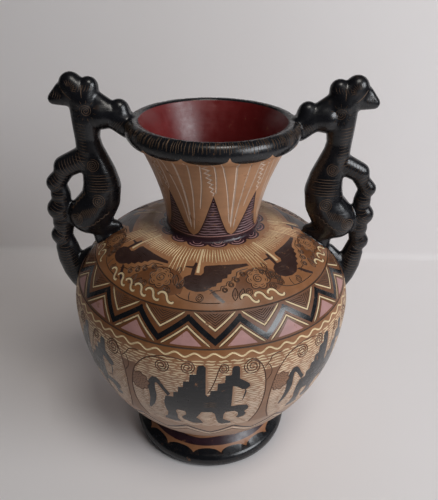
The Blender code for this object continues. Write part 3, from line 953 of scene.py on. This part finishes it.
solid, corners, slip_of_face, cut, facing, at_seam = skin_of_wall()
slip_materials = [slip_material("slip_" + slip, *SLIP_LOOKS[slip]) for slip in SLIPS]
wall_mesh = scratched_mesh("amphora_pot", solid.tolist(), corners.tolist(), slip_materials,
                           slip_of_face, cut, facing)
bm = bmesh.new()
bm.from_mesh(wall_mesh)
bmesh.ops.remove_doubles(bm, verts=[v for v in bm.verts if at_seam[v.index]], dist=SEAM_GAP)
bmesh.ops.holes_fill(bm, edges=[e for e in bm.edges if e.is_boundary], sides=0)
bmesh.ops.triangulate(bm, faces=[f for f in bm.faces if len(f.verts) > 3])
bmesh.ops.recalc_face_normals(bm, faces=bm.faces)
bm.to_mesh(wall_mesh)
bm.free()
crisp_scratches(wall_mesh)
pot = bpy.data.objects.new("amphora_pot", wall_mesh)
bpy.context.scene.collection.objects.link(pot)
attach(pot, "root")
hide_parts("amphora")


# Animal handles
# Two animals modelled from soft clay and luted on while damp, forearms over the lip and tails
# down to the belly. They are black, burnished, and scratched with curls, ribs and hatching.
GRIP_HEIGHT, TAIL_HEIGHT = RIM_HEIGHT - 0.0125, BELLY_HEIGHT - 0.0075
GRIP_RADIUS = LIP_RADIUS - 0.5 * LIP_ROLL
HANDLE = GRIP_HEIGHT - TAIL_HEIGHT
# Each place is (out, up, thickness) in shares of the handle's height, from tail to grip.
CREST, EAR, CHEEK = (0.384, 1.231, 0.061), (0.293, 1.220, 0.051), (0.298, 1.150, 0.079)
JAW, MUZZLE = (0.366, 1.172, 0.054), [(0.426, 1.208, 0.033), (0.451, 1.156, 0.031)]
NAPE = (0.243, 1.150, 0.052)
NECK_AND_BODY = [(0.303, 1.150, 0.072), (0.256, 1.048, 0.076), (0.224, 0.953, 0.066), (0.193, 0.892, 0.072),
                 (0.142, 0.820, 0.080), (0.102, 0.755, 0.092), (0.067, 0.683, 0.104), (0.052, 0.605, 0.108),
                 (0.073, 0.533, 0.118), (0.087, 0.509, 0.118)]
FOREARM = [(0.190, 1.079, 0.078), (0.136, 1.077, 0.065), (0.080, 1.054, 0.070), (0.030, 1.022, 0.067)]
PAW = (0.104, 1.108, 0.053)
HIND_LEG = [(0.087, 0.509, 0.116), (-0.009, 0.431, 0.062), (-0.035, 0.365, 0.058)]
TOE = (-0.088, 0.440, 0.030)
MANE = [(0.205, 0.845, 0.068), (0.300, 0.790, 0.062), (0.326, 0.695, 0.054), (0.283, 0.629, 0.056),
        (0.268, 0.539, 0.069), (0.222, 0.455, 0.063), (0.212, 0.371, 0.062), (0.160, 0.293, 0.066),
        (0.122, 0.222, 0.072), (0.075, 0.150, 0.072), (0.028, 0.090, 0.068), (-0.012, 0.030, 0.050)]
TAIL_FOOT = [(-0.005, 0.262, 0.040), (0.050, 0.180, 0.060)]
RIGHT_LIFT, RIGHT_TUCK, RIGHT_THINNER, RIGHT_FOOT_LIFT = 0.010, 0.035, 0.007, 0.040
FLAT_NECK, FLAT_BODY, FLAT_MANE = 0.94, 0.88, 0.92  # how deep a limb is for its width
WAISTED, WAIST, WAIST_IN = 6, 0.84, 0.010           # the mane's knobs that are parted by a waist
BEADS, BEAD_FROM, BEAD_STEP = 9, -26.0, 6.5         # degrees round, along the lip
BEAD_THICK, BEAD_TALL, BEAD_OUT = 0.0040, 0.0089, 0.0032
PATCH_UP, PATCH_TURN, PATCH_DEPTH = range(185, 306, 10), range(-18, 19, 3), (0.4, 5.5)   # on the belly
VOXEL, RUBS, FACETS = 0.0011, 9, 0.11
HANDLE_SCRATCH = 0.35      # millimetres
FACING = 0.35              # how squarely a face looks to the front or back where it is scratched
CLEAR_OF_EDGE, SAME_IN_FACE = 0.9, 1e-6             # millimetres
AWAY = 0.2                 # metres in front of the handle, or behind it
RIB_STEP, RIB_REACH, RIB_LEAN = 0.0030, 0.72, 0.18

ball = bmesh.new()
bmesh.ops.create_icosphere(ball, subdivisions=3, radius=1.0)
BALL = [v.co.copy() for v in ball.verts]
ball.free()
widest = int(np.argmax(outline[:, 0]))
below_lip = widest + int(np.argmax(outline[widest:, 1] > RIM_HEIGHT - LIP_DEPTH))


def outside_at(height):
    """The radius of the pot's outside, above its widest place."""
    return float(np.interp(height, outline[widest:below_lip, 1], outline[widest:below_lip, 0]))


def on_handle(side, out, up):
    """A place in the handle's plane, as (x, z)."""
    x = BELLY_RADIUS + (GRIP_RADIUS - BELLY_RADIUS) * up + out * HANDLE
    lift = side * 0.5 * RIGHT_LIFT * max(up - 1.0, 0.0) / (CREST[1] - 1.0)
    return side * x, TAIL_HEIGHT + (up + lift) * HANDLE


def hull(bm, points):
    """The smallest skin round these points, with none left inside it."""
    skin = bmesh.ops.convex_hull(bm, input=[bm.verts.new(p) for p in points], use_existing_faces=False)
    buried = {v for v in skin["geom_interior"] + skin["geom_unused"] if isinstance(v, bmesh.types.BMVert)}
    bmesh.ops.delete(bm, geom=list(buried), context="VERTS")


def chain(bm, side, places, flat):
    """Tapering limbs from place to place, flattened across the handle's plane."""
    balls = []
    for out, up, thick in places:
        x, z = on_handle(side, out, up)
        balls.append([(x + d.x * thick * HANDLE, d.y * flat * thick * HANDLE, z + d.z * thick * HANDLE)
                      for d in BALL])
    for start, end in zip(balls, balls[1:]):
        hull(bm, start + end)


def mane(side):
    """The mane's knobs, with a waist after each of the first few."""
    knobs = MANE
    if side > 0:
        knobs = [(out - RIGHT_TUCK * (1.0 - up), up, thick - RIGHT_THINNER) for out, up, thick in MANE]
    made = []
    for i, (here, after) in enumerate(zip(knobs, knobs[1:])):
        made.append(here)
        if 0 < i <= WAISTED:
            out, up, thick = (0.5 * (a + b) for a, b in zip(here, after))
            made.append((out - WAIST_IN, up, thick * WAIST))
    return made + knobs[-1:]


def seats(bm, side):
    """A little of the lip and the belly, just under their skin, so that the joints run over smoothly."""
    core, beads, patch = LIP_RADIUS - LIP_ROUND, [], []
    for i in range(BEADS):
        a = radians(BEAD_FROM + BEAD_STEP * i)
        centre = Vector((side * core * cos(a), core * sin(a), LIP_MIDDLE))
        outward = Vector((side * cos(a), sin(a), 0.0))
        beads.append([centre + Vector((d.x * BEAD_THICK, d.y * BEAD_THICK, d.z * BEAD_TALL))
                      + outward * BEAD_OUT * max(d.dot(outward), 0.0) for d in BALL])
    for start, end in zip(beads, beads[1:]):
        hull(bm, start + end)
    for up in PATCH_UP:
        radius, height = radius_at(up) * MM, float(np.interp(up, UP, outline[:, 1]))
        run, rise = (float(np.interp(up + 2.0, UP, way) - np.interp(up - 2.0, UP, way)) for way in outline.T)
        along = Vector((run, rise)).normalized()
        for a in PATCH_TURN:
            for depth in PATCH_DEPTH:
                r, z = radius - along.y * depth * MM, height + along.x * depth * MM
                patch.append((side * r * cos(radians(a)), r * sin(radians(a)), z))
    hull(bm, patch)


def apply_to(thing):
    """Turn this object's modifiers into its mesh."""
    bpy.ops.object.select_all(action="DESELECT")
    bpy.context.view_layer.objects.active = thing
    thing.select_set(True)
    bpy.ops.object.convert(target="MESH")


def lump(name, side):
    """The animal as one lump of clay with its joints rubbed smooth."""
    bm = bmesh.new()
    (out, up, thick), corner = TAIL_FOOT
    foot = [(out, up + max(side, 0) * RIGHT_FOOT_LIFT, thick), corner]
    for places in ([CREST, CHEEK], [EAR, CHEEK], [CREST, JAW], NECK_AND_BODY[:4], [PAW, FOREARM[2]],
                   [NAPE, FOREARM[1]], [JAW, MUZZLE[0]], [JAW, MUZZLE[1]], MUZZLE):
        chain(bm, side, places, FLAT_NECK)
    for places, flat in ((NECK_AND_BODY[3:], FLAT_BODY), (FOREARM, 1.0), (HIND_LEG, FLAT_BODY),
                         ([TOE, HIND_LEG[1]], FLAT_NECK), (mane(side), FLAT_MANE), (foot, FLAT_MANE)):
        chain(bm, side, places, flat)
    seats(bm, side)
    mesh = bpy.data.meshes.new(name)
    bm.to_mesh(mesh)
    bm.free()
    clay = bpy.data.objects.new(name, mesh)
    bpy.context.scene.collection.objects.link(clay)
    one = clay.modifiers.new("one lump", "REMESH")
    one.mode = "VOXEL"
    one.voxel_size = VOXEL
    rub = clay.modifiers.new("rubbed", "SMOOTH")
    rub.factor = 0.5
    rub.iterations = RUBS
    apply_to(clay)
    for vert in clay.data.vertices:
        r = hypot(vert.co.x, vert.co.y)
        inner = (LIP_RADIUS - LIP_ROLL + MM if vert.co.z > RIM_HEIGHT - LIP_DEPTH
                 else outside_at(vert.co.z) - 0.4 * WALL)
        if r < inner:
            vert.co.x *= inner / r
            vert.co.y *= inner / r
            r = inner
        if r < LIP_RADIUS - 0.4 * LIP_ROLL and vert.co.z > LIP_MIDDLE:
            vert.co.z = min(vert.co.z, RIM_HEIGHT + 0.4 * (r - LIP_RADIUS + LIP_ROLL - 2.0 * MM))
    clay.data.shade_smooth()
    return clay


def ribs(path):
    """Short scratches across a limb, all along it."""
    made, rest = [], 0.0
    for (x0, z0, r0), (x1, z1, r1) in zip(path, path[1:]):
        length = hypot(x1 - x0, z1 - z0)
        ux, uz = (x1 - x0) / length, (z1 - z0) / length
        t = rest
        while t < length:
            share = t / length
            x, z, r = x0 + (x1 - x0) * share, z0 + (z1 - z0) * share, (r0 + (r1 - r0) * share) * RIB_REACH
            stroke = []
            for k in (-1.0, -0.5, 0.0, 0.5, 1.0):
                bow = RIB_LEAN * r * (1.0 - k * k) + hand.uniform(-0.12, 0.12) * MM
                stroke.append((x - uz * k * r + ux * bow, z + ux * k * r + uz * bow))
            made.append((stroke, hand.uniform(0.38, 0.52)))
            t += RIB_STEP * hand.uniform(0.85, 1.15)
        rest = t - length
    return made


def handle_scratches(side):
    """Every scratch on one face of an animal, as (places, width in millimetres)."""
    def at(out, up):
        return on_handle(side, out, up)

    def curl(out, up, size, turns, start, width):
        (x, z), count = at(out, up), int(turns * 12)
        spokes = [(size * (1.0 - 0.93 * i / count), radians(start) + 2.0 * pi * turns * i / count)
                  for i in range(count + 1)]
        return [(x + side * r * cos(a), z + r * sin(a)) for r, a in spokes], width

    def burst(out, up, angles, reaches, drop=0.0):
        x, z = at(out, up)
        return [([(x + side * r * MM * cos(a), z - drop + r * MM * sin(a)) for r in reaches], 0.45)
                for a in angles]

    def bar(inner, outer, shares, width, bow=0.0):
        (x0, z0), (x1, z1) = at(*inner), at(*outer)
        return [(x0 + (x1 - x0) * t, z0 + (z1 - z0) * t + bow * sin(3.0 * t)) for t in shares], width

    def wavy(start, end, waves, high, width):
        (x0, z0), (x1, z1) = at(*start), at(*end)
        length = hypot(x1 - x0, z1 - z0)
        ux, uz = (x1 - x0) / length, (z1 - z0) / length
        return [(x0 + ux * length * t - uz * b, z0 + uz * length * t + ux * b) for t, b in
                [(i / (6 * waves), high * abs(sin(pi * i / 6.0))) for i in range(6 * waves + 1)]], width

    def row(count, places, width, along=0.0, rise=0.0):
        return [([at(out + along * i, up + rise * i) for out, up in places], width) for i in range(count)]

    scratches = [curl(0.147, 0.823, 0.0060, 3.2, 80, 0.55), curl(0.054, 0.628, 0.0066, 3.2, 40, 0.65),
                 curl(0.145, 0.517, 0.0064, 3.2, 100, 0.65), curl(0.262, 1.112, 0.0052, 2.6, 0, 0.5)]
    scratches += burst(0.262, 1.112, [2.0 * pi * i / 11 for i in range(11)], (6.2, 7.6, 9.0))
    for i in range(7):
        up, stagger = 0.768 - 0.0145 * i, 0.012 * (i % 2)
        scratches.append(bar((0.010 + stagger - 0.02 * i / 7, up), (0.158 - stagger - 0.03 * i / 7, up),
                             (0.0, 0.25, 0.5, 0.75, 1.0), 0.6, 0.0004))
    for i in range(13):
        up = 1.045 - 0.0165 * i
        middle = float(np.interp(up, [0.892, 0.953, 1.048], [0.193, 0.224, 0.256]))
        scratches.append(bar((middle - 0.010, up - 0.006), (middle + 0.062, up + 0.004),
                             (0.0, 0.33, 0.66, 1.0), 0.5))
    for t in spread(0.0, 1.0, 8):
        x, z = at(0.045 + 0.085 * t, 0.575 - 0.030 * t)
        scratches.append(([(x + side * k * 0.0030, z - k * 0.0052 + 0.0004 * cos(2.0 * k))
                           for k in (-1.0, -0.4, 0.3, 1.0)], 0.55))
    scratches += [wavy((0.147, 0.668), (0.198, 0.570), 5, 0.0014, 0.65),
                  wavy((-0.020, 0.560), (0.050, 0.486), 4, 0.0014, 0.65),
                  wavy((0.050, 0.486), (0.120, 0.462), 3, 0.0010, 0.55)]
    scratches += burst(0.384, 1.231, [radians(200.0 - 17.0 * i) for i in range(9)], (2.2, 4.6, 7.0), 0.002)
    scratches += row(1, ((0.330, 1.262), (0.322, 1.235), (0.312, 1.205), (0.300, 1.178)), 0.8)
    scratches += row(1, ((0.430, 1.226), (0.408, 1.205), (0.384, 1.186), (0.352, 1.168)), 0.9)
    scratches += row(5, ((0.415, 1.188), (0.412, 1.172), (0.414, 1.156)), 0.5, 0.013, 0.004)
    scratches += row(7, ((0.272, 1.236), (0.270, 1.222), (0.272, 1.207)), 0.45, 0.014)
    scratches += row(7, ((0.014, 1.062), (0.026, 1.038), (0.034, 1.012)), 0.5, 0.014)
    return scratches + ribs([(*at(out, up), thick * HANDLE) for out, up, thick in mane(side)[:-1]])


def stretches(path, within):
    """The stretches of a path, in millimetres, that stay where the clay can be scratched."""
    found, run = [], []
    for x, z in path:
        if within(x / MM, z / MM):
            run.append((x / MM, z / MM))
            continue
        found.append(run)
        run = []
    return [run for run in found + [run] if len(run) > 1]


def groove(run, width):
    """The outline of a scratch along a run, narrower at its ends."""
    left, right, last = [], [], len(run) - 1
    for i, (x, z) in enumerate(run):
        before, after = run[max(i - 1, 0)], run[min(i + 1, last)]
        across = Vector((before[1] - after[1], after[0] - before[0])).normalized()
        across *= 0.5 * width * (0.4 if i in (0, last) else 1.0)
        left.append((x + across.x, z + across.y))
        right.append((x - across.x, z - across.y))
    return anticlockwise(left + right[::-1])


def facets(clay):
    """The lump in fewer faces: its places, and (corners, how squarely it shows to front or back)."""
    coarse = clay.copy()
    coarse.data = clay.data.copy()
    bpy.context.scene.collection.objects.link(coarse)
    fewer = coarse.modifiers.new("fewer faces", "DECIMATE")
    fewer.ratio = FACETS
    fewer.use_collapse_triangulate = True
    apply_to(coarse)
    places = [v.co.copy() for v in coarse.data.vertices]
    rough = BVHTree.FromPolygons(places, [p.vertices for p in coarse.data.polygons])
    faces = []
    for n, p in enumerate(coarse.data.polygons):
        look = 1.0 if p.normal.y > 0.0 else -1.0
        outside = hypot(p.center.x, p.center.y) > outside_at(p.center.z) + 0.5 * MM
        corners = [p.center] + [0.9 * places[v] + 0.1 * p.center for v in p.vertices]
        seen = all(rough.ray_cast(Vector((c.x, look * AWAY, c.z)), Vector((0.0, -look, 0.0)))[2] == n
                   for c in corners)
        faces.append((tuple(p.vertices), p.normal.y if seen and outside else 0.0))
    bpy.data.objects.remove(coarse, do_unlink=True)
    return places, faces, rough


def scratched(clay, side):
    """The lump with its scratches cut into front and back: places, (triangle, pressed), normals."""
    fine = BVHTree.FromPolygons([v.co for v in clay.data.vertices], [p.vertices for p in clay.data.polygons])
    places, faces, rough = facets(clay)
    whole = [(face, False) for face, facing in faces if abs(facing) <= FACING]
    for look in (-1, 1):
        region = [face[::-look] for face, facing in faces if facing * look > FACING]
        used = sorted({i for face in region for i in face})
        index = {v: i for i, v in enumerate(used)}
        flat = [(places[v].x / MM, places[v].z / MM) for v in used]
        shapes = [[index[v] for v in face] for face in region]
        net = BVHTree.FromPolygons([Vector((x, 0.0, z)) for x, z in flat], shapes)

        def within(x, z):
            return all(net.ray_cast(Vector((x + dx, -1.0, z + dz)), Vector((0.0, 1.0, 0.0)))[0]
                       for dx, dz in ((CLEAR_OF_EDGE, 0.0), (-CLEAR_OF_EDGE, 0.0),
                                      (0.0, CLEAR_OF_EDGE), (0.0, -CLEAR_OF_EDGE)))

        points, edges = list(flat), []
        for path, width in handle_scratches(side):
            for run in stretches(path, within):
                shapes.append(list(range(len(points), len(points) + 2 * len(run))))
                points += groove(run, width)
                edges += [(i, i + 1) for i in range(len(points), len(points) + len(run) - 1)]
                points += run
        made = geometry.delaunay_2d_cdt([Vector(p) for p in points], edges, shapes, 0, SAME_IN_FACE, True)
        new_places, _, new_faces, from_places, _, from_faces = made
        number = []
        for place, sources in zip(new_places, from_places):
            old = [s for s in sources if s < len(flat)]
            if old:
                number.append(used[old[0]])
                continue
            number.append(len(places))
            outer = Vector((place.x * MM, look * AWAY, place.y * MM))
            hit = rough.ray_cast(outer, Vector((0.0, -look, 0.0)))[0]
            places.append(fine.find_nearest(hit or rough.find_nearest(outer)[0])[0])
        for face, sources in zip(new_faces, from_faces):
            if any(s < len(region) for s in sources):
                whole.append((tuple(number[i] for i in face)[::-look],
                              any(s >= len(region) for s in sources)))
    level = {i for face, pressed in whole if not pressed for i in face}
    normals = []
    for i, place in enumerate(places):
        corners = [clay.data.vertices[v] for v in clay.data.polygons[fine.find_nearest(place)[2]].vertices]
        weights = [1.0 / ((v.co - place).length + SAME_PLACE) for v in corners]
        normals.append(sum((v.normal * w for v, w in zip(corners, weights)), Vector()).normalized())
        if i not in level:
            places[i] = place - normals[i] * HANDLE_SCRATCH * MM
    return places, whole, normals


handle_black = slip_material("handle_black", (0.0058, 0.0058, 0.0075), 0.27, 0.20, (0.024, 0.014, 0.010))
handle_line = slip_material("handle_scratch", (0.105, 0.062, 0.036), 0.60, 0.10)
for name, side in (("amphora_handle_right", 1), ("amphora_handle_left", -1)):
    animal = lump(name, side)
    places, faces, normals = scratched(animal, side)
    pressed = [p for _, p in faces]
    mesh = scratched_mesh(name, [tuple(p) for p in places], [face for face, _ in faces],
                          (handle_black, handle_line), pressed, pressed, normals)
    bm = bmesh.new()
    bm.from_mesh(mesh)
    for _ in range(3):
        loose = {v for e in bm.edges if not e.is_manifold for v in e.verts}
        bmesh.ops.remove_doubles(bm, verts=list(loose), dist=0.05 * MM)
        spare = {min(e.link_faces, key=bmesh.types.BMFace.calc_area)
                 for e in bm.edges if len(e.link_faces) > 2}
        bmesh.ops.delete(bm, geom=list(spare), context="FACES_ONLY")
        bmesh.ops.delete(bm, geom=[e for e in bm.edges if not e.link_faces], context="EDGES")
        bmesh.ops.holes_fill(bm, edges=[e for e in bm.edges if e.is_boundary], sides=0)
    bmesh.ops.triangulate(bm, faces=[f for f in bm.faces if len(f.verts) > 3])
    bmesh.ops.collapse(bm, edges=[e for e in bm.edges if len(e.link_faces) > 2], uvs=False)
    bmesh.ops.delete(bm, geom=[e for e in bm.edges if not e.link_faces], context="EDGES")
    bm.to_mesh(mesh)
    bm.free()
    crisp_scratches(mesh)
    animal.data = mesh
    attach(animal, "root")
    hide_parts("amphora")


# Floor and light
# A pale sheet runs level under the pot and turns up behind it, and is see-through from its back.
# A broad soft light stands high on the right, a weaker one overhead, and a little light comes from
# all round.
SHEET_BACK, SHEET_TURN, SHEET_SIDE, SHEET_FRONT, SHEET_TOP = 0.36, 0.012, 1.1, 0.9, 0.60
PAPER_WARM, PAPER_COOL, PAPER_ROUGHNESS = (0.81, 0.775, 0.765), (0.83, 0.80, 0.80), 0.75
PAPER_CLOUDS = (6.0, 2.0)  # scale, detail
ROOM_COLOUR, ROOM_LIGHT, ROOM_SEEN = (0.80, 0.82, 0.86, 1.0), 0.03, 0.55

sheet = [(-SHEET_FRONT, 0.0)]
sheet += [(SHEET_BACK - SHEET_TURN * (1.0 - sin(a)), SHEET_TURN * (1.0 - cos(a)))
          for a in spread(0.0, 0.5 * pi, 16)]
sheet.append((SHEET_BACK, SHEET_TOP))
mesh = bpy.data.meshes.new("floor")
mesh.from_pydata([(x, y, z) for y, z in sheet for x in (-SHEET_SIDE, SHEET_SIDE)], [],
                 [(2 * i, 2 * i + 1, 2 * i + 3, 2 * i + 2) for i in range(len(sheet) - 1)])
mesh.shade_smooth()
floor = bpy.data.objects.new("floor", mesh)
bpy.context.scene.collection.objects.link(floor)
paper = bpy.data.materials.new("pale_paper")
paper.use_nodes = True
nodes, links = paper.node_tree.nodes, paper.node_tree.links
place = nodes.new("ShaderNodeTexCoord").outputs["Object"]
shader, see_through = nodes["Principled BSDF"], nodes.new("ShaderNodeMixShader")
tint = mix(paper.node_tree, noise(paper.node_tree, place, *PAPER_CLOUDS), PAPER_WARM, PAPER_COOL)
links.new(tint, shader.inputs["Base Color"])
shader.inputs["Roughness"].default_value = PAPER_ROUGHNESS
links.new(nodes.new("ShaderNodeNewGeometry").outputs["Backfacing"], see_through.inputs["Fac"])
links.new(shader.outputs["BSDF"], see_through.inputs[1])
links.new(nodes.new("ShaderNodeBsdfTransparent").outputs["BSDF"], see_through.inputs[2])
links.new(see_through.outputs["Shader"], nodes["Material Output"].inputs["Surface"])
mesh.materials.append(paper)
floor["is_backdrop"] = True


def soft_light(name, place, target, size, watts, colour):
    """A broad light turned to a target."""
    lamp = bpy.data.objects.new(name, bpy.data.lights.new(name, "AREA"))
    lamp.data.shape = "RECTANGLE"
    lamp.data.size, lamp.data.size_y = size
    lamp.data.energy = watts
    lamp.data.color = colour
    lamp.location = place
    lamp.rotation_euler = (Vector(target) - Vector(place)).to_track_quat("-Z", "Y").to_euler()
    bpy.context.scene.collection.objects.link(lamp)


soft_light("window", (1.20, -0.80, 0.95), (0.0, 0.0, 0.20), (0.9, 0.7), 18.0, (0.93, 0.96, 1.0))
soft_light("lamp", (0.20, -0.50, 1.45), (0.0, 0.0, 0.15), (0.45, 0.36), 5.2, (1.0, 0.96, 0.90))
world = bpy.data.worlds.new("room")
bpy.context.scene.world = world
world.use_nodes = True
room = world.node_tree.nodes["Background"].inputs
room["Color"].default_value = ROOM_COLOUR
to_camera = world.node_tree.nodes.new("ShaderNodeLightPath").outputs["Is Camera Ray"]
world.node_tree.links.new(total(world.node_tree, (to_camera, ROOM_SEEN), ROOM_LIGHT), room["Strength"])
bpy.context.scene.view_settings.view_transform = "Standard"

low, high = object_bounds()
